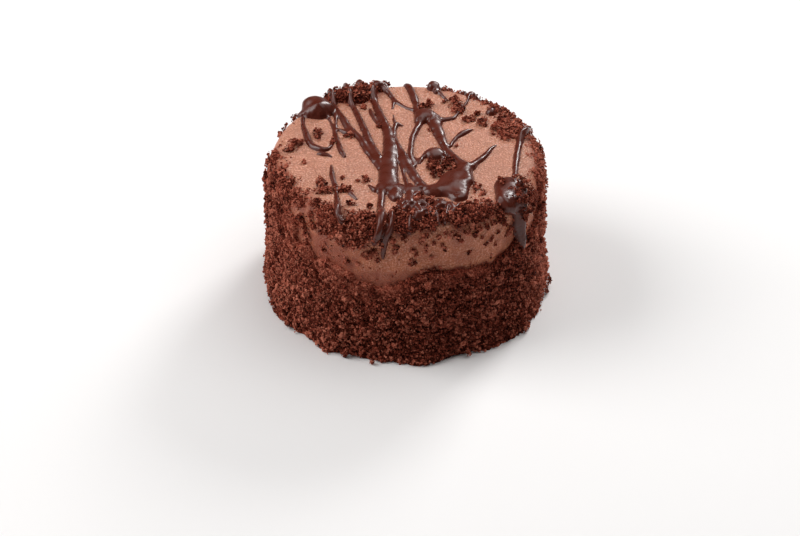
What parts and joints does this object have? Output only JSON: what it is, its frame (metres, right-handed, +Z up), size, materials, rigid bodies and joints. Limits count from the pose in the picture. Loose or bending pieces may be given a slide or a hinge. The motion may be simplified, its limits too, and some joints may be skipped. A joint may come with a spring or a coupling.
{
  "type": "chocolate mousse cake",
  "caption": "Individual round mousse cake with a pressed cake crumb coat on its side and rim and a glossy ganache drizzle over its flat top.",
  "frame": {"origin": "centre of the foot, on the surface that the cake stands on", "axes": "+Z up along the moulding ring's axis, -Y towards the front with the bare mousse band, +X to the right"},
  "size_m": [0.0902, 0.09, 0.0488],
  "materials": {
    "mousse": "matt, fine porous set mousse",
    "crumbs": "matt, rough dark cake crumbs",
    "ganache": "glossy set dark ganache"
  },
  "bodies": {
    "root": {"mousse_cake": "mousse"}
  },
  "joints": []
}
